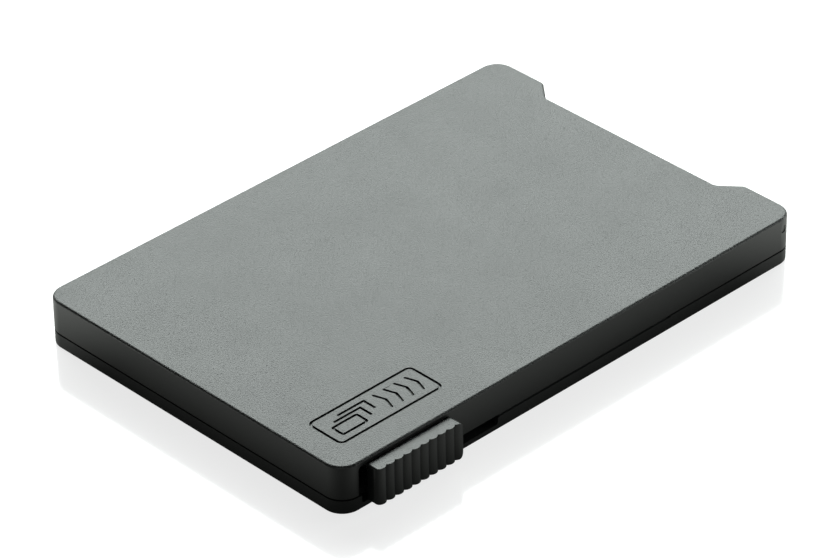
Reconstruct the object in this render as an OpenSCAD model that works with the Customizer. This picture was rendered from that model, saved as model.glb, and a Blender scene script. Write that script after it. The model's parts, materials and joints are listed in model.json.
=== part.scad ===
// Slide-out card case: a hard two-part shell for a stack of bank cards.
// A ribbed thumb grip on the side drives a stepped pusher that fans the cards out of the mouth.
// +X points out of the mouth, the grip is on the -Y side, +Z is up.
// The origin is the centre of the flat underside.

/* [Case] */
// Length from the closed end to the mouth
case_l = 95; // [95:0.5:100]
// Width across the side walls, without the grip
case_w = 64; // [64:0.5:68]
// Height of the closed case
case_h = 8.2; // [8.2:0.1:9.5]
// Radius of the four upright corners
corner_r = 3.2; // [3:0.1:4.5]
// Thickness of the side and end walls
wall_t = 1.2; // [1.1:0.1:1.4]
// Thickness of the roof
roof_t = 0.8; // [0.7:0.05:0.9]
// Thickness of the floor
floor_t = 0.95; // [0.9:0.05:1]
// Height of the parting line above the underside
seam_z = 2.43; // [2.4:0.01:2.5]
// Width of the shadow line between the two shells
seam_gap = 0.28; // [0.1:0.01:0.3]

/* [Mouth] */
// Width of the slot that the cards come out of
mouth_w = 54.8; // [54.6:0.1:55.4]
// Depth of the thumb notch in the roof and floor
notch_depth = 3; // [2:0.25:4]
// Width of the thumb notch at its bottom
notch_w = 36.2; // [30:0.5:40]
// Sideways run of each slanted side of the thumb notch
notch_flare = 3.5; // [2:0.25:4]

/* [Grip window and slot] */
// Distance from the closed end to the window in the upper side wall
window_start = 3.4; // [3.2:0.1:3.6]
// Length of the window
window_l = 17.9; // [17.5:0.1:18.5]
// Distance from the closed end to the slot in the lower side wall
slot_start = 4; // [3.8:0.1:4.1]
// Length of the slot
slot_l = 27.1; // [27.1:0.1:28]
// Length of the lowered rim beyond the slot
relief_l = 36.4; // [30:0.1:38]
// Drop of the lowered rim
relief_drop = 0.15; // [0.1:0.01:0.2]

/* [Slider] */
// Travel of the slider from closed to cards out
slide_travel = 20; // [15:0.5:20]
// Number of ribs on the thumb grip
rib_count = 10; // [8:1:10]
// Distance from one rib to the next
rib_pitch = 1.69; // [1.6:0.01:1.69]
// Radius of each rounded rib
rib_r = 1.1; // [1:0.01:1.2]
// How far the ribs stand out from the side wall
grip_out = 2.5; // [2.3:0.1:2.6]
// Height of the grip's lower end above the underside
grip_z0 = 1.1; // [0.9:0.05:1.2]
// Height of the grip's upper end above the underside
grip_z1 = 7.35; // [7.2:0.05:7.4]
// Number of cards that the pusher fans out
card_count = 6; // [4:1:6]
// How much further each card comes out than the one above it
card_stagger = 1.2; // [0.8:0.1:1.2]

/* [Engraved sign] */
// Length of the engraved frame
sign_l = 20.5; // [18:0.1:22]
// Width of the engraved frame
sign_w = 7.3; // [6.2:0.1:7.6]
// Width of an engraved line
sign_line = 0.45; // [0.25:0.05:0.5]
// Depth of an engraved line
sign_depth = 0.3; // [0.1:0.05:0.35]

/* [Hidden] */
$fn = 64;
eps = 0.01;

// Colours
shell_black = [0.17, 0.18, 0.175];
grip_black = [0.15, 0.16, 0.155];
pusher_black = [0.09, 0.09, 0.09];
bare_aluminium = [0.78, 0.79, 0.80];
spring_steel = [0.62, 0.63, 0.65];
clear_tape = [0.86, 0.84, 0.78];

// Levels of the stacked layers
tape_t = 0.1;
tape_inset = 0.8;
sheet_t = 0.3;
roof_z = case_h - roof_t;
lower_sheet_top = floor_t + tape_t + sheet_t;
upper_sheet_low = roof_z - tape_t - sheet_t;
lower_rim_z = seam_z - seam_gap / 2;
upper_rim_z = seam_z + seam_gap / 2;

// Plan of the case
end_x = case_l / 2;
side_y = case_w / 2;
inner_y = side_y - wall_t;
inner_end_x = end_x - wall_t;
notch_x = end_x - notch_depth;
window_x = -end_x + window_start;
slot_x = -end_x + slot_start;
slot_end_x = slot_x + slot_l;

// The tongue on the lower rim stands in a rebate of the upper shell
tongue_t = wall_t / 2 - 0.05;
tongue_h = 0.8;
fit_gap = 0.05;

// Rounding of the window, the slot, the rim beside the slot and the thumb notch
window_r = 0.7;
slot_r = 0.4;
notch_r = 1.2;

// Card guides, and the springs that grip the card edges
guide_y = 27.3;
guide_t = 0.8;
guide_start_x = -16;
guide_split_z = 4.2;
spring_x = 33.5;
spring_chord = 15;
spring_foot_l = 2.5;
spring_t = 0.2;
spring_h = 3.4;
spring_z = 2.5;
spring_crest_y = 26.9;
spring_foot_y = 30.3;
spring_gap = [spring_x - 8, spring_x + 8];
stop_l = 1.6;
stop_t = 0.8;

// Injection mark on the round corner beside the mouth
gate_angle = -79;
gate_z = 6.2;
gate_r = 0.65;
gate_depth = 0.15;

// Pegs that close the two shells
peg_r = 0.75;
peg_press = 0.02;
socket_r = 1.4;
socket_top_z = 4.2;
peg_z = floor_t + 1;
peg_places = [[-8, 29.3], [18, 29.3], [44.5, 28.9]];

// Slider, in its closed place
grip_len = (rib_count - 1) * rib_pitch + 2 * rib_r;
grip_x = -end_x + 13.55;
grip_trim = 0.45;
grip_ends = [grip_x - grip_len / 2, grip_x + grip_len / 2 - grip_trim];
grip_back_y = side_y + 0.25;
grip_front_y = side_y + grip_out;
run_gap = 0.1;
pusher_x = -end_x + 1.5;
pusher_z0 = lower_sheet_top + run_gap;
pusher_z1 = upper_sheet_low - run_gap;
beam_t = 1.2;
beam_y = guide_y - 0.4;
step_h = (pusher_z1 - pusher_z0) / card_count;
stair_l = beam_t + (card_count - 1) * card_stagger;
stair_w = 10;
stair_places = [-21.5, 0, 21.5];
runner_x = pusher_x + 1.5;
runner_l = 14.5;
runner_w = 2.1;
runner_z0 = floor_t + 0.2;
runner_z1 = seam_z - 0.2;
runner_y = inner_y - 0.3;
neck_x = slot_x + 2;
neck_l = slot_l - slide_travel - 2.2;
neck_z0 = floor_t + 0.25;
neck_z1 = neck_z0 + 1;
tenon_l = grip_len - 2.8;
tenon_t = 0.65;
tenon_y = grip_back_y + 0.2;
tenon_z0 = grip_z0 + 0.8;
tenon_z1 = grip_z1 - 0.7;
pocket_gap = 0.05;
stud_r = 0.7;
stud_l = 0.6;
stud_places = [grip_x - 5, grip_x + 5];
stud_z = (grip_z0 + grip_z1) / 2;
shoe_x = pusher_x + 0.5;
shoe_l = 8;
shoe_y = [guide_y, 30];
shoe_h = 4.85;
brake_pocket_l = 7;
brake_pocket_t = 0.5;
brake_t = 0.15;
brake_chord = 6.4;
brake_rise = 1;
brake_h = 3;
brake_z = 2.8;
click_r = 1;
click_depth = 0.25;

// Engraved sign
sign_place = [-end_x + 14.95, -side_y + 8.5];

// Rectangle with true round corners
module round_rect(l, w, r) {
    square([l - 2 * r, w], center = true);
    square([l, w - 2 * r], center = true);
    for (sx = [-1, 1], sy = [-1, 1])
        translate([sx * (l / 2 - r), sy * (w / 2 - r)]) circle(r = r);
}

// Box given by its lowest and highest corners
module block(low, high) {
    translate(low) cube(high - low);
}

// A plan raised between two levels
module layer(z0, z1) {
    translate([0, 0, z0]) linear_extrude(z1 - z0) children();
}

// Upright round bar between two levels
module bar(r, z0, z1) {
    translate([0, 0, z0]) cylinder(r = r, h = z1 - z0);
}

// Points along an arc
function arc_points(centre, r, from, to, n = 6) =
    [for (i = [0 : n]) let (a = from + (to - from) * i / n) centre + r * [cos(a), sin(a)]];

// Cut for the thumb, with its four corners rounded
module thumb_notch() {
    half = notch_w / 2;
    slope = atan2(notch_depth, notch_flare);
    // distance from a virtual corner to the start of its rounding
    run = notch_r * tan(slope / 2);
    top_y = half + notch_flare + run;
    bottom_corner = arc_points([notch_x + notch_r, half - run], notch_r, 180, 180 - slope);
    top_corner = arc_points([end_x - notch_r, top_y], notch_r, -slope, 0);
    side = concat(bottom_corner, top_corner, [[end_x + 1, top_y]]);
    polygon(concat(side, [for (i = [len(side) - 1 : -1 : 0]) [side[i][0], -side[i][1]]]));
}

module case_plan() {
    difference() {
        round_rect(case_l, case_w, corner_r);
        thumb_notch();
    }
}

module cavity_plan(grow = 0) {
    inset = wall_t - grow;
    round_rect(case_l - 2 * inset, case_w - 2 * inset, corner_r - inset);
}

// The slot that the cards leave by, cut through the end wall
module mouth(z0, z1) {
    block([inner_end_x - eps, -mouth_w / 2, z0], [end_x + 1, mouth_w / 2, z1]);
}

// Extrudes a side view, drawn in X and Z, through the grip's side wall
module through_side_wall() {
    translate([0, -inner_y + eps, 0]) rotate([90, 0, 0]) linear_extrude(wall_t + 1) children();
}

// Window in the upper side wall behind the grip, with two round upper corners
module grip_window() {
    through_side_wall() {
        translate([window_x, upper_rim_z - 1]) square([window_l, roof_z - window_r - upper_rim_z + 1]);
        translate([window_x + window_r, upper_rim_z])
            square([window_l - 2 * window_r, roof_z - upper_rim_z]);
        for (x = [window_r, window_l - window_r])
            translate([window_x + x, roof_z - window_r]) circle(r = window_r);
    }
}

// Slot in the lower side wall that the slider's neck runs in
module neck_slot() {
    rim_z = lower_rim_z - relief_drop;
    through_side_wall() {
        translate([slot_x, floor_t + slot_r]) square([slot_l, seam_z + 2]);
        translate([slot_x + slot_r, floor_t]) square([slot_l - 2 * slot_r, slot_r + eps]);
        for (x = [slot_r, slot_l - slot_r])
            translate([slot_x + x, floor_t + slot_r]) circle(r = slot_r);
        // the rim rolls over into the slot
        translate([slot_end_x, rim_z]) difference() {
            translate([-eps, -slot_r]) square([slot_r, slot_r + 1]);
            translate([slot_r, -slot_r]) circle(r = slot_r);
        }
    }
}

// Two card guides with a gap for the card springs
module card_guides(z0, z1) {
    for (side = [-1, 1], stretch = [[guide_start_x, spring_gap[0]], [spring_gap[1], inner_end_x]])
        block([stretch[0], side > 0 ? guide_y : -guide_y - guide_t, z0],
              [stretch[1], side > 0 ? guide_y + guide_t : -guide_y, z1]);
}

module at_pegs() {
    for (side = [-1, 1], p = peg_places) translate([p[0], side * p[1], 0]) children();
}

module at_spring_feet() {
    for (side = [-1, 1], end = [-1, 1])
        translate([spring_x + end * (spring_chord + spring_foot_l) / 2, side * spring_foot_y, 0])
            rotate(side > 0 ? 0 : 180) children();
}

// Upright stops that trap the feet of the card springs against the side wall
module spring_stops() {
    at_spring_feet() block([-stop_l / 2, -spring_t / 2 - fit_gap - stop_t, floor_t - eps],
                           [stop_l / 2, -spring_t / 2 - fit_gap, spring_z + spring_h]);
}

// Ledges that hold the feet of the card springs up and down
module spring_ledges(z0, z1) {
    at_spring_feet() block([-stop_l / 2, -spring_t / 2, z0],
                           [stop_l / 2, inner_y - spring_foot_y + eps, z1]);
}

// Round-ended engraved line from p to q
module groove(p, q) {
    d = q - p;
    translate(p) {
        circle(d = sign_line, $fn = 24);
        rotate(atan2(d[1], d[0])) translate([0, -sign_line / 2]) square([norm(d), sign_line]);
        translate(d) circle(d = sign_line, $fn = 24);
    }
}

module card_outline(l, w, r) {
    difference() {
        round_rect(l, w, r, $fn = 32);
        round_rect(l - 2 * sign_line, w - 2 * sign_line, r - sign_line, $fn = 32);
    }
}

// Sign for "cards slide out this way": in a frame, a fan of cards and a row of arrow heads
module sign_plan() {
    card_l = 5.2;
    card_h = 2.7;
    fan_step = [1.5, 0.85];
    front = [-8.5, -2.2];
    head = [0.65, 1.9];
    head_pitch = 2.1;
    card_outline(sign_l, sign_w, 1.1);
    translate(front + [card_l, card_h] / 2) card_outline(card_l, card_h, 0.5);
    // the cards behind show only their upper and outer edges
    for (i = [1 : 2]) {
        low = front + i * fan_step + [0, sign_line / 2];
        high = low + [card_l - sign_line / 2, card_h - sign_line];
        groove([low[0], high[1]], high);
        groove([high[0], low[1]], high);
    }
    for (i = [0 : 3]) {
        tip = [2 + i * head_pitch, 0];
        for (side = [-1, 1]) groove(tip + [-head[0], side * head[1]], tip);
    }
}

// Shallow round mark across the corner beside the mouth
module gate_mark() {
    translate([end_x - corner_r, -side_y + corner_r, gate_z]) rotate([0, 90, gate_angle])
        translate([0, 0, corner_r - gate_depth]) cylinder(r = gate_r, h = 1);
}

// Hollows that the brake spring clicks into at each end of the travel
module click_hollows() {
    for (x = [0, slide_travel])
        translate([shoe_x + shoe_l / 2 + x, inner_y + click_depth - click_r, 0])
            bar(click_r, brake_z - 0.2, brake_z + brake_h + 0.2);
}

module upper_shell() {
    color(shell_black) difference() {
        union() {
            difference() {
                layer(upper_rim_z, case_h) case_plan();
                layer(upper_rim_z - eps, roof_z) cavity_plan();
                layer(upper_rim_z - eps, upper_rim_z + tongue_h + fit_gap) cavity_plan(tongue_t + fit_gap);
                mouth(upper_rim_z - eps, roof_z);
            }
            card_guides(guide_split_z + fit_gap, roof_z + eps);
            spring_ledges(spring_z + spring_h + fit_gap, roof_z + eps);
            at_pegs() {
                bar(socket_r, socket_top_z + fit_gap, roof_z + fit_gap);
                bar(peg_r + peg_press, peg_z, roof_z + fit_gap);
            }
        }
        grip_window();
        gate_mark();
        click_hollows();
        layer(case_h - sign_depth, case_h + 1) translate(sign_place) sign_plan();
    }
}

module lower_shell() {
    color(shell_black) difference() {
        union() {
            difference() {
                layer(0, lower_rim_z) case_plan();
                layer(floor_t, case_h) cavity_plan();
            }
            // tongue along the inner half of the rim
            layer(floor_t, lower_rim_z + tongue_h) difference() {
                cavity_plan(tongue_t);
                cavity_plan();
            }
            card_guides(floor_t - eps, guide_split_z - fit_gap);
            spring_stops();
            spring_ledges(floor_t - eps, spring_z - fit_gap);
            at_pegs() bar(socket_r, floor_t - eps, socket_top_z);
        }
        mouth(floor_t, case_h);
        neck_slot();
        // lowered rim beyond the slot
        block([slot_end_x - eps, -side_y - 1, lower_rim_z - relief_drop],
              [slot_end_x + relief_l, -inner_y - tongue_t, case_h]);
        // the tongue stops where the window is
        block([window_x, -side_y - 1, lower_rim_z], [slot_x + 1, -inner_y + eps, case_h]);
        at_pegs() bar(peg_r, peg_z - 0.4, case_h);
    }
}

// Rectangle between the card guides, from behind the pusher to the bottom of the notch
module shield_plan(inset) {
    back_x = -inner_end_x + 0.6;
    front_x = notch_x - 0.7;
    translate([(back_x + front_x) / 2, 0])
        round_rect(front_x - back_x - 2 * inset, 2 * (guide_y - 0.2 - inset), 1.5);
}

module upper_shield_sheet() {
    color(bare_aluminium) layer(upper_sheet_low, upper_sheet_low + sheet_t) shield_plan(0);
}

module upper_shield_tape() {
    color(clear_tape) layer(roof_z - tape_t, roof_z) shield_plan(tape_inset);
}

module lower_shield_sheet() {
    color(bare_aluminium) layer(floor_t + tape_t, lower_sheet_top) shield_plan(0);
}

module lower_shield_tape() {
    color(clear_tape) layer(floor_t, floor_t + tape_t) shield_plan(tape_inset);
}

// Flat-footed bow in plan: an arc of the given chord and rise, with a straight foot at each end
module bow_plan(chord, rise, t, foot) {
    r = (chord * chord / 4 + rise * rise) / (2 * rise);
    intersection() {
        translate([0, rise - r]) difference() {
            circle(r = r + t / 2, $fn = 128);
            circle(r = r - t / 2, $fn = 128);
        }
        translate([-chord / 2, -t / 2]) square([chord, rise + 2 * t]);
    }
    if (foot > 0)
        for (end = [-1, 1])
            translate([end * (chord + foot - t) / 2, 0]) square([foot + t, t], center = true);
}

module card_spring() {
    rise = spring_foot_y - spring_crest_y - spring_t / 2;
    layer(spring_z, spring_z + spring_h) translate([spring_x, spring_foot_y]) mirror([0, 1])
        bow_plan(spring_chord, rise, spring_t, spring_foot_l);
}

module left_card_spring() {
    color(spring_steel) card_spring();
}

module right_card_spring() {
    color(spring_steel) mirror([0, 1, 0]) card_spring();
}

// Side view of one staircase: the lowest card rests on the longest step
module stair_plan() {
    for (i = [0 : card_count - 1]) square([stair_l - i * card_stagger, (i + 1) * step_h]);
}

// Block on the pusher's far side with a pocket for the brake spring in its outer face
module brake_shoe() {
    pocket_x = shoe_x + (shoe_l - brake_pocket_l) / 2;
    difference() {
        block([shoe_x, shoe_y[0], pusher_z0], [shoe_x + shoe_l, shoe_y[1], pusher_z0 + shoe_h]);
        block([pocket_x, shoe_y[1] - brake_pocket_t, brake_z - fit_gap],
              [pocket_x + brake_pocket_l, shoe_y[1] + 1, brake_z + brake_h + fit_gap]);
    }
}

module card_pusher() {
    stair_reach = stair_places[len(stair_places) - 1] + stair_w / 2;
    tenon_out_y = -tenon_y - tenon_t;
    color(pusher_black) {
        // staircases on a cross beam
        for (y = stair_places)
            translate([pusher_x, y + stair_w / 2, pusher_z0]) rotate([90, 0, 0])
                linear_extrude(stair_w) stair_plan();
        block([pusher_x, -beam_y, pusher_z0], [pusher_x + beam_t, shoe_y[0] + 1, pusher_z1]);
        // flat runner in the side channel, joined by an arm to the lowest step
        block([runner_x, -runner_y, runner_z0], [runner_x + runner_l, -runner_y + runner_w, runner_z1]);
        block([runner_x, -runner_y, pusher_z0], [pusher_x + stair_l, -stair_reach + 1, runner_z1]);
        // neck through the slot, and the tenon that carries the grip
        block([neck_x, tenon_out_y, neck_z0], [neck_x + neck_l, -runner_y + eps, neck_z1]);
        block([grip_x - tenon_l / 2, tenon_out_y, tenon_z0],
              [grip_x + tenon_l / 2, -tenon_y, tenon_z1]);
        for (x = stud_places) translate([x, tenon_out_y + eps, stud_z])
            rotate([90, 0, 0]) cylinder(r = stud_r, h = stud_l);
        brake_shoe();
    }
}

// Side view of the grip: large rounds at the end that leads on the way out, small ones at the other
module grip_side() {
    lead_r = 1.1;
    edge_r = 0.3;
    h = grip_z1 - grip_z0;
    l = grip_ends[1] - grip_ends[0];
    translate([grip_ends[0], 0]) {
        translate([edge_r, 0]) square([l - edge_r - lead_r, h]);
        translate([0, edge_r]) square([l / 2, h - 2 * edge_r]);
        translate([l / 2, lead_r]) square([l / 2, h - 2 * lead_r]);
        for (z = [edge_r, h - edge_r]) translate([edge_r, z]) circle(r = edge_r);
        for (z = [lead_r, h - lead_r]) translate([l - lead_r, z]) circle(r = lead_r);
    }
}

module thumb_grip() {
    first_rib_x = grip_ends[0] + rib_r;
    rib_y = -grip_front_y + rib_r;
    pocket_y = -tenon_y - tenon_t - pocket_gap;
    color(grip_black) difference() {
        intersection() {
            union() {
                for (i = [0 : rib_count - 1])
                    translate([first_rib_x + i * rib_pitch, rib_y, 0]) cylinder(r = rib_r, h = case_h);
                block([grip_ends[0], rib_y, 0], [grip_ends[1], -grip_back_y, case_h]);
            }
            translate([0, 0, grip_z0]) rotate([90, 0, 0]) linear_extrude(case_w) grip_side();
        }
        // pocket for the tenon, open below for the neck, and the holes that the studs are pressed into
        block([grip_x - tenon_l / 2 - pocket_gap, pocket_y, tenon_z0 - pocket_gap],
              [grip_x + tenon_l / 2 + pocket_gap, -grip_back_y + 1, tenon_z1 + pocket_gap]);
        block([neck_x - pocket_gap, pocket_y, 0],
              [neck_x + neck_l + pocket_gap, -grip_back_y + 1, neck_z1]);
        for (x = stud_places) translate([x, -tenon_y, stud_z])
            rotate([90, 0, 0]) cylinder(r = stud_r - peg_press, h = tenon_t + stud_l + pocket_gap);
    }
}

module brake_spring() {
    foot_y = shoe_y[1] - brake_pocket_t + fit_gap + brake_t / 2;
    color(spring_steel) layer(brake_z, brake_z + brake_h) translate([shoe_x + shoe_l / 2, foot_y])
        bow_plan(brake_chord, brake_rise, brake_t, 0);
}

upper_shell();
lower_shell();
upper_shield_sheet();
upper_shield_tape();
lower_shield_sheet();
lower_shield_tape();
left_card_spring();
right_card_spring();
card_pusher();
thumb_grip();
brake_spring();
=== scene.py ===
# %% [markdown]
# # A slide-out card case, finished for a studio render
# The object is a slim wallet made of hard plastic. Two moulded shells close round a stack of bank cards.
# A ribbed thumb grip on one long side drives a stepped pusher, which fans the cards out of the open end.
# The shape, the sizes and the motion come from the CAD model. This script gives the pieces round edges,
# an honest surface finish and light, and it never moves what the CAD model has placed.
# Everything is in metres: +X points out of the mouth, the grip is on the -Y side, and +Z is up.

# %% Load the frame
import json
import math

import bmesh
import bpy
from mathutils import Matrix, Vector


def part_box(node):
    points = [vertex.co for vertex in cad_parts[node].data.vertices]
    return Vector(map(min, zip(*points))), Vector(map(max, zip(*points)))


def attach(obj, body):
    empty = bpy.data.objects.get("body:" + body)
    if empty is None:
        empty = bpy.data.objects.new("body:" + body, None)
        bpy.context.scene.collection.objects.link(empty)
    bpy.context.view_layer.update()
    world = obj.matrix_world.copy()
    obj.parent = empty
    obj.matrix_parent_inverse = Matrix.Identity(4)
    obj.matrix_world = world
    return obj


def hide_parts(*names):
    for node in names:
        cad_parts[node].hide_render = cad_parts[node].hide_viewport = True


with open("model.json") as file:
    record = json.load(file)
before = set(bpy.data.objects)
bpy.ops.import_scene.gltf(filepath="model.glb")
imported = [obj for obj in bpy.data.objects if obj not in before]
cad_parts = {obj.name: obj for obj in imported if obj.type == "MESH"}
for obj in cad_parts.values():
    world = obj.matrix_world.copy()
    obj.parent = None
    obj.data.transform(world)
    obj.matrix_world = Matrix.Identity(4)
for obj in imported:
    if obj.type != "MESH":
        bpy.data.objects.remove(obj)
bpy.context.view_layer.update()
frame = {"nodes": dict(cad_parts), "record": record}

MM = 0.001
nodes = frame["nodes"]
case_low = Vector(map(min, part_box("lower_shell")[0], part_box("upper_shell")[0]))
case_high = Vector(map(max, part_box("lower_shell")[1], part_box("upper_shell")[1]))
case_size = case_high - case_low
print("case, mm:", [round(v / MM, 2) for v in case_size], "nodes:", len(nodes))

# %% [markdown]
# ## The camera
# A thin case is best shown from well above the table, over the corner that shows the grip. A long lens
# from some way off keeps the long edges almost parallel. The camera could be placed by hand, but an
# azimuth, an elevation and a distance round a target say the same thing in numbers that a reader can
# change, and the lights can be placed the same way. The tiny roll is the tilt of a tripod that was
# levelled by hand.

# %% Camera over the near corner
camera_azimuth = math.radians(-43.62)
camera_elevation = math.radians(33.66)
camera_roll = math.radians(-0.92)
camera_distance = 0.7143
camera_target = Vector((0.00163, 0.00518, 0))
camera_lens = 207.6


def direction_at(azimuth, elevation):
    """A direction away from the case: azimuth 0 is off the grip's side and 90 degrees is off the mouth."""
    return Vector((
        math.sin(azimuth) * math.cos(elevation),
        -math.cos(azimuth) * math.cos(elevation),
        math.sin(elevation),
    ))


def turned_back(direction):
    """The turn that makes a camera or a lamp look back along its direction."""
    return (-direction).to_track_quat("-Z", "Y").to_matrix().to_4x4()


camera = bpy.data.objects.new("camera", bpy.data.cameras.new("camera"))
bpy.context.scene.collection.objects.link(camera)
towards_camera = direction_at(camera_azimuth, camera_elevation)
place = Matrix.Translation(camera_target + towards_camera * camera_distance)
camera.matrix_world = place @ turned_back(towards_camera) @ Matrix.Rotation(camera_roll, 4, "Z")
camera.data.lens = camera_lens
camera.data.sensor_width = 36
camera.data.clip_start = 0.01
camera.data.clip_end = 20
bpy.context.scene.camera = camera
print("camera at", [round(v, 4) for v in camera.matrix_world.translation])

# %% [markdown]
# ## Sums of shader sockets
# Node trees are drawn with a mouse as a rule, but a script can say the same as a sum: `0.4 + 0.1 * grain`.
# For that, one small class wraps an output socket and turns each operator into a Math node.

# %% Wires that can be added and multiplied
class Wire:
    """An output socket that can be used in sums."""

    def __init__(self, recipe, socket):
        self.recipe = recipe
        self.socket = socket

    def sum_with(self, operation, first, second):
        return self.recipe.node("ShaderNodeMath", {"operation": operation}, {0: first, 1: second})

    def __add__(self, other):
        return self.sum_with("ADD", self, other)

    def __radd__(self, other):
        return self.sum_with("ADD", other, self)

    def __sub__(self, other):
        return self.sum_with("SUBTRACT", self, other)

    def __rsub__(self, other):
        return self.sum_with("SUBTRACT", other, self)

    def __mul__(self, other):
        return self.sum_with("MULTIPLY", self, other)

    def __rmul__(self, other):
        return self.sum_with("MULTIPLY", other, self)


print("reflected operators of a wire:", [name for name in vars(Wire) if name.startswith("__r")])

# %% [markdown]
# ## One material, one recipe
# A second class holds one material. What is the same all over the surface is a constant, set when the
# recipe is made. What varies is fed in by `finish`. The `node` method makes every kind of node: the
# settings first, because they can change which sockets there are, and then the values or links.

# %% Recipe for a material
class Recipe:
    """One material and its node tree."""

    def __init__(self, name, **constants):
        self.material = bpy.data.materials.new(name)
        self.material.use_nodes = True
        self.tree = self.material.node_tree
        self.shader = self.tree.nodes["Principled BSDF"]
        for socket, value in constants.items():
            self.feed(self.shader, socket.replace("_", " "), value)

    def feed(self, node, socket, value):
        if isinstance(value, Wire):
            self.tree.links.new(value.socket, node.inputs[socket])
        else:
            node.inputs[socket].default_value = value

    def node(self, kind, settings=None, inputs=None, output=0):
        made = self.tree.nodes.new(kind)
        for name, value in (settings or {}).items():
            setattr(made, name, value)
        for socket, value in (inputs or {}).items():
            self.feed(made, socket, value)
        return Wire(self, made.outputs[output])

    def finish(self, **varying):
        for socket, value in varying.items():
            self.feed(self.shader, socket.replace("_", " "), value)
        print("material", self.material.name, "has", len(self.tree.nodes), "nodes")
        return self.material


print("a recipe can", [name for name in vars(Recipe) if not name.startswith("_")])

# %% [markdown]
# ## The patterns of this object
# Every finish here is a few cloudy patterns, laid out in object coordinates so that they stay on the
# plastic when the slider moves. Image textures could do it too, but a pattern has no seams, and its spots
# have a size in millimetres that can be compared with the real grain.

# %% Patterns in millimetres
class Surface(Recipe):
    """A recipe that also knows grain, ramps and bumps."""

    def spot(self):
        return self.node("ShaderNodeTexCoord", output="Object")

    def axes(self):
        """Object coordinates as three wires."""
        split = self.node("ShaderNodeSeparateXYZ", None, {"Vector": self.spot()})
        return [Wire(self, split.socket.node.outputs[axis]) for axis in "XYZ"]

    def noise(self, grain_mm, detail, stretch=(1, 1, 1)):
        """Cloudy values from 0 to 1 whose spots are about grain_mm across, before any stretch."""
        place = self.node("ShaderNodeMapping", None, {"Vector": self.spot(), "Scale": stretch})
        inputs = {"Vector": place, "Scale": 1 / (grain_mm * MM), "Detail": detail}
        return self.node("ShaderNodeTexNoise", None, inputs, output="Fac")

    def between(self, factor, low, high):
        """A colour that goes from low to high as factor goes from 0 to 1."""
        # sockets 6 and 7 are the two colours, and output 2 is the mixed colour
        inputs = {0: factor, 6: low, 7: high}
        return self.node("ShaderNodeMix", {"data_type": "RGBA"}, inputs, output=2)

    def larger(self, first, second):
        return self.node("ShaderNodeMath", {"operation": "MAXIMUM"}, {0: first, 1: second})

    def smaller(self, first, second):
        return self.node("ShaderNodeMath", {"operation": "MINIMUM"}, {0: first, 1: second})

    def ramp(self, value, start, stop):
        """Goes softly from 0 to 1 as value goes from start to stop."""
        inputs = {"Value": value, "From Min": start, "From Max": stop}
        return self.node("ShaderNodeMapRange", {"interpolation_type": "SMOOTHSTEP"}, inputs)

    def bump(self, height, depth_mm):
        return self.node("ShaderNodeBump", None, {"Height": height, "Distance": depth_mm * MM})


print("patterns:", [name for name in vars(Surface) if not name.startswith("_")])

# %% [markdown]
# ## Satin black plastic
# The shells are injection-moulded in black ABS. The big face of the steel mould is spark-eroded, which
# leaves a grain of about a quarter of a millimetre on the roof, but its sides are polished so that the
# shell comes out easily. The plastic itself is nearly black: what looks grey on the roof is the soft light
# that it mirrors. So the colour stays dark, and the work is done by a fine bump that fades out below the
# top edge, and by a roughness that changes a little from place to place. The lower shell gets a darker,
# less glossy copy of the same plastic: painted shade for its sides, which sit low beside the table.

# %% Shell and grip plastic
plastic_tint = (0.95, 1.04, 1.0)
grain_size_mm = 0.24
patch_size_mm = 9.0
patch_contrast = 0.15
side_grain = 0.1
grain_fade = (0.6 * MM, 0.1 * MM)


def grey(value, tint=(1, 1, 1)):
    return (value * tint[0], value * tint[1], value * tint[2], 1)


def satin_black(name, shade, roughness, specular, grain_depth_mm, top_z):
    plastic = Surface(name, Specular_IOR_Level=specular)
    grain = plastic.noise(grain_size_mm, detail=1.0)
    patches = plastic.noise(patch_size_mm, detail=3.0)
    on_top = plastic.ramp(plastic.axes()[2], top_z - grain_fade[0], top_z - grain_fade[1])
    dark = grey((1 - patch_contrast) * shade, plastic_tint)
    light = grey((1 + patch_contrast) * shade, plastic_tint)
    relief = (side_grain + (1 - side_grain) * on_top) * grain
    return plastic.finish(
        Base_Color=plastic.between(patches, dark, light),
        Roughness=(roughness - 0.05) + 0.06 * patches + 0.04 * grain,
        Normal=plastic.bump(relief, grain_depth_mm),
    )


grip_low, grip_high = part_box("thumb_grip")
shell_plastic = satin_black("satin_black_abs", shade=0.010, roughness=0.40, specular=0.5,
                            grain_depth_mm=0.055, top_z=case_high.z)
# a darker, less glossy copy of the shell plastic: painted shade for the lower shell's sides
shaded_lower_plastic = satin_black("satin_black_abs_painted_shade", shade=0.008, roughness=0.42, specular=0.36,
                            grain_depth_mm=0.055, top_z=case_high.z)
grip_plastic = satin_black("satin_black_grip", shade=0.010, roughness=0.32, specular=0.36,
                           grain_depth_mm=0.035, top_z=grip_high.z)

# %% [markdown]
# ## What is inside
# The pusher is a smooth acetal moulding that slides without grease. The shields are rolled aluminium,
# which shows fine streaks along the rolling direction, and the films that hold them are clear and slightly
# warm. The springs are bright rolled steel strip. Little of it is seen from outside, only what shows
# through the mouth and the window, so these pieces keep their CAD meshes and only get a finish.

# %% Pusher, shield, film and spring finishes
def smooth_acetal():
    acetal = Surface("black_acetal", Specular_IOR_Level=0.4)
    swirl = acetal.noise(3.0, detail=4.0)
    return acetal.finish(
        Base_Color=acetal.between(swirl, grey(0.010), grey(0.016)),
        Roughness=0.34 + 0.08 * swirl,
        Normal=acetal.bump(swirl, 0.01),
    )


def rolled_metal(name, shade, roughness):
    metal = Surface(name, Metallic=1.0)
    streaks = metal.noise(0.15, detail=3.0, stretch=(0.03, 1, 1))
    return metal.finish(
        Base_Color=metal.between(streaks, grey(0.92 * shade), grey(shade)),
        Roughness=roughness + 0.12 * streaks,
        Normal=metal.bump(streaks, 0.003),
    )


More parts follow.
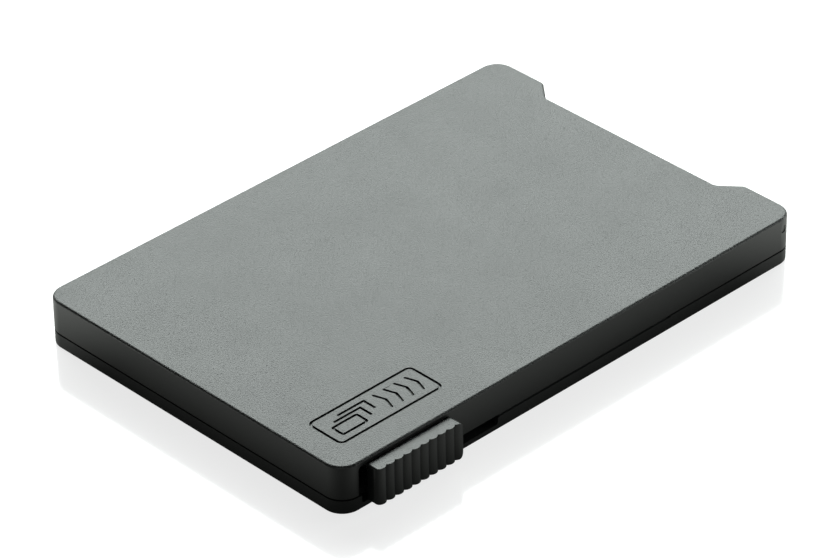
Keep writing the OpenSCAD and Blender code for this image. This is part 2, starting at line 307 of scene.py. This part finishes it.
def clear_film():
    film = Surface("clear_adhesive_film", IOR=1.47)
    mottle = film.noise(1.5, detail=2.0)
    return film.finish(
        Base_Color=film.between(mottle, (0.62, 0.57, 0.46, 1), (0.72, 0.68, 0.58, 1)),
        Roughness=0.3 + 0.15 * mottle,
    )


finishes = {
    "pusher_plastic": smooth_acetal(),
    "shield_aluminium": rolled_metal("rolled_aluminium", shade=0.78, roughness=0.28),
    "adhesive_film": clear_film(),
    "spring_steel": rolled_metal("bright_spring_strip", shade=0.6, roughness=0.2),
}
for subpart in frame["record"]["subparts"]:
    if subpart["material_slot"] in finishes:
        nodes[subpart["node"]].data.materials[0] = finishes[subpart["material_slot"]]

# %% [markdown]
# ## Copying a shell and rounding its edges
# A moulded edge is never knife-sharp, and the thin line of light or shadow along it is what makes a shell
# look real. The CAD shells have sharp edges. They could be rebuilt from an outline, but a copy keeps every
# rib, socket and ledge exactly where it is. So each shell is copied, its loose triangles are welded and
# joined into whole faces, and only the edges that a finger would touch are rounded.

# %% Welding and rounding helpers
WELD = 1e-6
FLAT_ANGLE = math.radians(0.5)
SHARP_ANGLE = math.radians(35)


def welded(mesh):
    """Joins loose triangles into whole faces."""
    bmesh.ops.remove_doubles(mesh, verts=mesh.verts, dist=WELD)
    bmesh.ops.dissolve_limit(mesh, angle_limit=FLAT_ANGLE, verts=mesh.verts, edges=mesh.edges)
    print("welded to", len(mesh.verts), "corners and", len(mesh.faces), "faces")
    return mesh


def sharp_edges(mesh, wanted):
    """Edges that turn sharply and whose two ends both pass the test."""
    return [
        edge for edge in mesh.edges
        if len(edge.link_faces) == 2
        and edge.calc_face_angle() > SHARP_ANGLE
        and all(wanted(vert.co) for vert in edge.verts)
    ]


def round_edges(mesh, wanted, radius, segments):
    edges = sharp_edges(mesh, wanted)
    bmesh.ops.bevel(mesh, geom=edges, offset=radius, offset_type="OFFSET", segments=segments,
                    profile=0.5, affect="EDGES", clamp_overlap=True)
    print("  rounded", len(edges), "edges to", round(radius / MM, 2), "mm")

# %% [markdown]
# ## Putting a piece in its place
# A finished piece is shaded smoothly between its sharp edges, and weighted normals keep the flat faces
# flat beside the small rounds. Then it is hung on the body it rides on, and the CAD node it stands for is
# hidden.

# %% Finished pieces
def finished_piece(mesh, name, material, body, node):
    """Makes the piece and puts it in the CAD node's place."""
    data = bpy.data.meshes.new(name)
    mesh.to_mesh(data)
    mesh.free()
    data.shade_smooth()
    data.set_sharp_from_angle(angle=SHARP_ANGLE)
    data.materials.append(material)
    piece = bpy.data.objects.new(name, data)
    bpy.context.scene.collection.objects.link(piece)
    weighting = piece.modifiers.new("even_shading", "WEIGHTED_NORMAL")
    weighting.keep_sharp = True
    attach(piece, body)
    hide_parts(node)
    print(name, "has", len(data.polygons), "faces")

# %% [markdown]
# ## The upper shell
# Its top edge is rounded the most, because it meets the fingers. The edges at the parting line, the
# window and the mouth only lose their burr. Edges are picked by where they lie: on the outer wall, or at
# one height and near the rim, so the shell's inside is left alone.

# %% Upper shell
corner_radius = 3.2 * MM
top_radius = 0.45 * MM
burr_radius = 0.05 * MM
wall_tolerance = 0.01 * MM
rim_width = 1.05 * corner_radius


def off_the_wall(point):
    """How far a point lies outside the upright outer wall of the case; below zero is inside."""
    beyond_x = abs(point.x) - (case_size.x / 2 - corner_radius)
    beyond_y = abs(point.y) - (case_size.y / 2 - corner_radius)
    outside = math.hypot(max(beyond_x, 0), max(beyond_y, 0))
    return outside + min(max(beyond_x, beyond_y), 0) - corner_radius


def on_outer_wall(point):
    return abs(off_the_wall(point)) < wall_tolerance


def near_the_rim(point):
    """True on the case's outline, thumb notch included, and false over the cards."""
    return off_the_wall(point) > -rim_width


def at_height(z):
    return lambda point: abs(point.z - z) < WELD * 5


def copied_shell(node):
    mesh = bmesh.new()
    mesh.from_mesh(nodes[node].data)
    return welded(mesh)


roof_top = case_high.z
shell = copied_shell("upper_shell")
round_edges(shell, lambda p: on_outer_wall(p) and p.z < roof_top - top_radius, burr_radius, 2)
round_edges(shell, lambda p: at_height(roof_top)(p) and near_the_rim(p), top_radius, 6)
finished_piece(shell, "upper_case_shell", shell_plastic, "case", "upper_shell")

# %% [markdown]
# ## The lower shell
# It is made the same way. The edge that it stands on is rounded a little, so that the case doesn't
# scratch a table.

# %% Lower shell
foot_radius = 0.25 * MM

shell = copied_shell("lower_shell")
round_edges(shell, lambda p: on_outer_wall(p) and p.z > foot_radius, burr_radius, 2)
round_edges(shell, lambda p: at_height(case_low.z)(p) and near_the_rim(p), foot_radius, 4)
finished_piece(shell, "lower_case_shell", shaded_lower_plastic, "case", "lower_shell")

# %% [markdown]
# ## The thumb grip
# Ten round ribs give the thumb a hold. One rib repeated by hand would be hard to change, so Geometry Nodes
# set a round bar on each point of a line, weld the row to a block, and keep what lies inside a blank. The
# blank comes first. It has the side view of the grip: large rounds at the end that leads on the way out,
# where the thumb pushes, and small ones at the other.

# %% Blank for the grip
grip_middle = (grip_low + grip_high) / 2
lead_radius = 1.1 * MM
tail_radius = 0.3 * MM


def box_mesh(low, high):
    mesh = bmesh.new()
    bmesh.ops.create_cube(mesh, size=1)
    for vert in mesh.verts:
        vert.co = Vector((low[i] + (vert.co[i] + 0.5) * (high[i] - low[i]) for i in range(3)))
    return mesh


def edges_along_y(mesh, wanted):
    """Edges parallel to Y whose middle passes the test."""
    found = []
    for edge in mesh.edges:
        first, second = (vert.co for vert in edge.verts)
        if abs(first.y - second.y) > MM and wanted((first + second) / 2):
            found.append(edge)
    return found


blank = box_mesh(grip_low, grip_high)
leading = edges_along_y(blank, lambda p: p.x > grip_middle.x)
bmesh.ops.bevel(blank, geom=leading, offset=lead_radius, segments=14, profile=0.5, affect="EDGES")
trailing = edges_along_y(blank, lambda p: p.x < grip_low.x + WELD)
bmesh.ops.bevel(blank, geom=trailing, offset=tail_radius, segments=5, profile=0.5, affect="EDGES")
print("grip blank:", len(blank.faces), "faces")

# %% [markdown]
# ## A short way to write geometry nodes
# The same idea as for the shaders: one class holds the tree, makes its named inputs, and has a method for
# a node, for a boolean and for a box. The booleans use the exact solver and look for self-intersection,
# because neighbouring ribs overlap and the ribs touch the blank's faces.

# %% Tree with named inputs
class Growth:
    """A Geometry Nodes tree whose sizes are named inputs."""

    def __init__(self, name, wanted_inputs):
        self.tree = bpy.data.node_groups.new(name, "GeometryNodeTree")
        for title, kind in wanted_inputs.items():
            self.tree.interface.new_socket(title, in_out="INPUT", socket_type="NodeSocket" + kind)
        self.tree.interface.new_socket("Geometry", in_out="OUTPUT", socket_type="NodeSocketGeometry")
        self.given = self.node("NodeGroupInput").outputs

    def node(self, kind, settings=None, inputs=None):
        made = self.tree.nodes.new(kind)
        for name, value in (settings or {}).items():
            setattr(made, name, value)
        for socket, value in (inputs or {}).items():
            if isinstance(value, bpy.types.NodeSocket):
                self.tree.links.new(value, made.inputs[socket])
            else:
                made.inputs[socket].default_value = value
        return made

    def boolean(self, operation, base, *tools):
        made = self.node("GeometryNodeMeshBoolean", {"operation": operation, "solver": "EXACT"})
        made.inputs["Self Intersection"].default_value = True
        if base is not None:
            self.tree.links.new(base, made.inputs["Mesh 1"])
        for tool in tools:
            self.tree.links.new(tool, made.inputs["Mesh 2"])
        return made.outputs["Mesh"]

    def placed_box(self, size, centre):
        cube = self.node("GeometryNodeMeshCube", None, {"Size": size}).outputs["Mesh"]
        moved = self.node("GeometryNodeTransform", None, {"Geometry": cube, "Translation": centre})
        return moved.outputs["Geometry"]

    def finish(self, geometry, material):
        """Ends the tree: instances made real, material set."""
        real = self.node("GeometryNodeRealizeInstances", None, {"Geometry": geometry}).outputs["Geometry"]
        painted = self.node("GeometryNodeSetMaterial", None, {"Geometry": real, "Material": material})
        output = self.node("NodeGroupOutput")
        self.tree.links.new(painted.outputs["Geometry"], output.inputs["Geometry"])
        print("tree", self.tree.name, "has", len(self.tree.nodes), "nodes")
        return self.tree

# %% [markdown]
# ## The tree that grows the ribs
# The number of ribs, their pitch and their radius are inputs of the tree, and so are the block that the
# ribs stand on and the two boxes that are cut from the back, one for the pusher's tenon and one for its
# neck.

# %% Row of ribs
def rib_row_tree():
    growth = Growth("rib_row", {
        "Geometry": "Geometry", "Ribs": "Int", "Pitch": "Float", "Rib radius": "Float",
        "First rib": "Vector", "Block size": "Vector", "Block centre": "Vector",
        "Pocket size": "Vector", "Pocket centre": "Vector",
        "Neck size": "Vector", "Neck centre": "Vector",
        "Height": "Float", "Plastic": "Material",
    })
    given = growth.given
    step = growth.node("ShaderNodeCombineXYZ", None, {"X": given["Pitch"]}).outputs["Vector"]
    line = growth.node(
        "GeometryNodeMeshLine", {"mode": "OFFSET"},
        {"Count": given["Ribs"], "Start Location": given["First rib"], "Offset": step},
    ).outputs["Mesh"]
    bar = growth.node(
        "GeometryNodeMeshCylinder", None,
        {"Vertices": 48, "Radius": given["Rib radius"], "Depth": given["Height"]},
    ).outputs["Mesh"]
    row = growth.node("GeometryNodeInstanceOnPoints", None, {"Points": line, "Instance": bar})
    solid_row = growth.node("GeometryNodeRealizeInstances", None, {"Geometry": row.outputs["Instances"]})
    block = growth.placed_box(given["Block size"], given["Block centre"])
    pocket = growth.placed_box(given["Pocket size"], given["Pocket centre"])
    neck = growth.placed_box(given["Neck size"], given["Neck centre"])
    ribbed = growth.boolean("UNION", None, block, solid_row.outputs["Geometry"])
    shaped = growth.boolean("INTERSECT", None, given["Geometry"], ribbed)
    hollowed = growth.boolean("DIFFERENCE", shaped, pocket, neck)
    return growth.finish(hollowed, given["Plastic"])


rib_row = rib_row_tree()

# %% [markdown]
# ## Sizes of the ribs and of the hollow
# The block fills the grip behind the ribs' centres, and reaches past the blank above and below, so that
# the blank alone decides the outline. The pocket and the neck are cut from the back, and reach past it.

# %% Ribs, block, pocket and neck
rib_count = 10
rib_pitch = 1.69 * MM
rib_radius = 1.1 * MM
pocket_depth = 0.9 * MM
pocket_wall = {"tail": 1.35 * MM, "lead": 0.9 * MM, "below": 0.75 * MM, "above": 0.65 * MM}
neck_start = 1.1 * MM
neck_length = 5.0 * MM
neck_height = 1.1 * MM

first_rib = Vector((grip_low.x + rib_radius, grip_low.y + rib_radius, grip_middle.z))
block_low = Vector((grip_low.x, first_rib.y, grip_low.z - MM))
block_high = grip_high + Vector((0, 0, MM))
pocket_y = grip_high.y - pocket_depth
past_back_y = grip_high.y + MM
pocket_low = Vector((grip_low.x + pocket_wall["tail"], pocket_y, grip_low.z + pocket_wall["below"]))
pocket_high = Vector((grip_high.x - pocket_wall["lead"], past_back_y, grip_high.z - pocket_wall["above"]))
neck_low = Vector((grip_low.x + neck_start, pocket_y, grip_low.z - MM))
neck_high = Vector((neck_low.x + neck_length, past_back_y, grip_low.z + neck_height))
values = {
    "Ribs": rib_count, "Pitch": rib_pitch, "Rib radius": rib_radius, "First rib": first_rib,
    "Block size": block_high - block_low, "Block centre": (block_high + block_low) / 2,
    "Pocket size": pocket_high - pocket_low, "Pocket centre": (pocket_high + pocket_low) / 2,
    "Neck size": neck_high - neck_low, "Neck centre": (neck_high + neck_low) / 2,
    "Height": (grip_high.z - grip_low.z) + 2 * MM, "Plastic": grip_plastic,
}
print("ribs:", rib_count, "over", round((rib_count - 1) * rib_pitch / MM, 2), "mm between centres")

# %% [markdown]
# ## Growing the grip
# A modifier runs the tree on the blank, and the result is taken as a plain mesh. After that it is treated
# like a shell: welded, its back top edge rounded where it meets the wall, and the ribs' ends deburred.

# %% Grip with its ribs
back_edge_radius = 0.25 * MM
rib_burr_radius = 0.08 * MM

grip_data = bpy.data.meshes.new("grip_blank")
blank.to_mesh(grip_data)
blank.free()
grip_blank = bpy.data.objects.new("grip_blank", grip_data)
bpy.context.scene.collection.objects.link(grip_blank)
ribs = grip_blank.modifiers.new("ribs", "NODES")
ribs.node_group = rib_row
for socket in rib_row.interface.items_tree:
    if socket.name in values and socket.in_out == "INPUT":
        ribs[socket.identifier] = values[socket.name]
bpy.context.view_layer.update()
evaluated = grip_blank.evaluated_get(bpy.context.evaluated_depsgraph_get())
grown = bpy.data.meshes.new_from_object(evaluated)
bpy.data.objects.remove(grip_blank)

grip_mesh = bmesh.new()
grip_mesh.from_mesh(grown)
welded(grip_mesh)
on_grip_top = at_height(grip_high.z)
round_edges(grip_mesh, lambda p: on_grip_top(p) and p.y > grip_high.y - WELD, back_edge_radius, 5)
round_edges(grip_mesh, lambda p: p.y < first_rib.y, rib_burr_radius, 2)
print("open edges:", sum(1 for edge in grip_mesh.edges if len(edge.link_faces) != 2))
finished_piece(grip_mesh, "ribbed_thumb_grip", grip_plastic, "slider", "thumb_grip")

# %% [markdown]
# ## The table
# The case lies on a white acrylic table that is lit from below, so the table stays white. It could be a
# plain white plane under strong light, but then the light would show on the case. The glow is hidden from
# everything but the camera, because the next sheet stands for what the case sees of the table.

# %% White table
table_glow = 0.76
table_half_size = 6.0
table_drop = 0.01 * MM


def flat_sheet(name, half_size, z, material):
    mesh = bpy.data.meshes.new(name)
    corners = [(-1, -1), (1, -1), (1, 1), (-1, 1)]
    mesh.from_pydata([(half_size * x, half_size * y, z) for x, y in corners], [], [(0, 1, 2, 3)])
    mesh.materials.append(material)
    sheet = bpy.data.objects.new(name, mesh)
    bpy.context.scene.collection.objects.link(sheet)
    return sheet


acrylic = Recipe("lit_white_acrylic", Base_Color=grey(0.3), Roughness=0.12, Emission_Color=grey(1.0),
                 Emission_Strength=table_glow)
table = flat_sheet("table_top", table_half_size, case_low.z - table_drop, acrylic.finish())
table.visible_glossy = False
table.visible_diffuse = False

# %% [markdown]
# ## What the black sides mirror
# The exposure lets the table burn out to white. What the black sides mirror is painted on a glowing sheet
# just under the table, which only the case's surfaces see: painted shade for the case's own shade close
# by, darkest before the near corner where the camera stands, and painted light beyond the far ends.
# The sides could be painted with a gradient instead, but it would stay in place when the case is turned.

# %% Shaded table for mirrored light
glow_strength = 4.0
glow_tint = (0.96, 1.0, 0.95)
contact_glow = 0.022
near_glow = 0.15
corner_shade = 0.09
far_glow = 0.31
far_reach = (-14 * MM, 16 * MM)
shade_reach = (0.5 * MM, 14 * MM)
corner_reach = (-12 * MM, 6 * MM)
mirrored_half_size = 0.5
mirrored_drop = 0.02 * MM


def painted_table_reflection():
    shade = Surface("shaded_table", Roughness=1.0, Specular_IOR_Level=0.0, Emission_Strength=glow_strength)
    x, y, _ = shade.axes()
    beyond_x, beyond_y = x - case_high.x, y - case_high.y
    before_x, before_y = case_low.x - x, case_low.y - y
    far_light = shade.ramp(shade.larger(beyond_x, beyond_y), *far_reach)
    own_shade = shade.ramp(shade.larger(before_x, before_y), *shade_reach)
    camera_side = shade.ramp(shade.smaller(before_x, before_y), *corner_reach)
    # painted shade near the case, deepest before the near corner, and painted light beyond the far ends
    glow = contact_glow + own_shade * (near_glow - corner_shade * camera_side) + far_glow * far_light
    return shade.finish(
        Base_Color=shade.between(glow, grey(0.0), grey(0.02)),
        Emission_Color=shade.between(glow, grey(0.0), grey(1.0, glow_tint)),
    )


mirrored_z = case_low.z - mirrored_drop
shaded_table = flat_sheet("shaded_table_sheet", mirrored_half_size, mirrored_z, painted_table_reflection())
shaded_table.visible_camera = False
shaded_table.visible_transmission = False
shaded_table.visible_shadow = False

# %% [markdown]
# ## The lights
# One large soft box stands behind the case, where the roof mirrors it towards the camera: that turns the
# black roof into an even grey and leaves the two near sides dark. A narrow strip on the right picks out
# the ribs of the grip, and the roof mirrors the dim fill light in front only when it is seen from behind.

# %% Soft boxes
soft_white = (0.93, 1.0, 0.97)


def soft_light(name, azimuth, elevation, distance, width, height, radiance):
    """A rectangular light that faces the case from the given direction."""
    lamp = bpy.data.lights.new(name, "AREA")
    lamp.shape = "RECTANGLE"
    lamp.size = width
    lamp.size_y = height
    lamp.energy = radiance * math.pi * width * height
    lamp.color = soft_white
    holder = bpy.data.objects.new(name, lamp)
    bpy.context.scene.collection.objects.link(holder)
    direction = direction_at(azimuth, elevation)
    holder.matrix_world = Matrix.Translation(direction * distance) @ turned_back(direction)
    print(name, "gives", round(lamp.energy, 2), "W")


soft_light("soft_box_behind", camera_azimuth + math.pi, math.radians(34),
           distance=1.2, width=1.6, height=0.68, radiance=6.9)
soft_light("strip_light_right", math.radians(65), math.radians(12),
           distance=0.8, width=0.3, height=0.5, radiance=5.0)
soft_light("fill_light_front", camera_azimuth, math.radians(33),
           distance=1.6, width=1.6, height=0.5, radiance=1.2)

# %% [markdown]
# ## The room
# Nothing but the lights and the table should show on the case, so the room is almost black. The plain
# view transform keeps the white table white.

# %% Dim studio around
room_glow = 0.03

world = bpy.data.worlds.new("dim_studio")
world.use_nodes = True
world.node_tree.nodes["Background"].inputs["Color"].default_value = grey(1.0)
world.node_tree.nodes["Background"].inputs["Strength"].default_value = room_glow
bpy.context.scene.world = world
bpy.context.scene.view_settings.view_transform = "Standard"
print("view transform:", bpy.context.scene.view_settings.view_transform)

# %% [markdown]
# ## The CAD box
# The finished pieces must stay inside the CAD model's box.
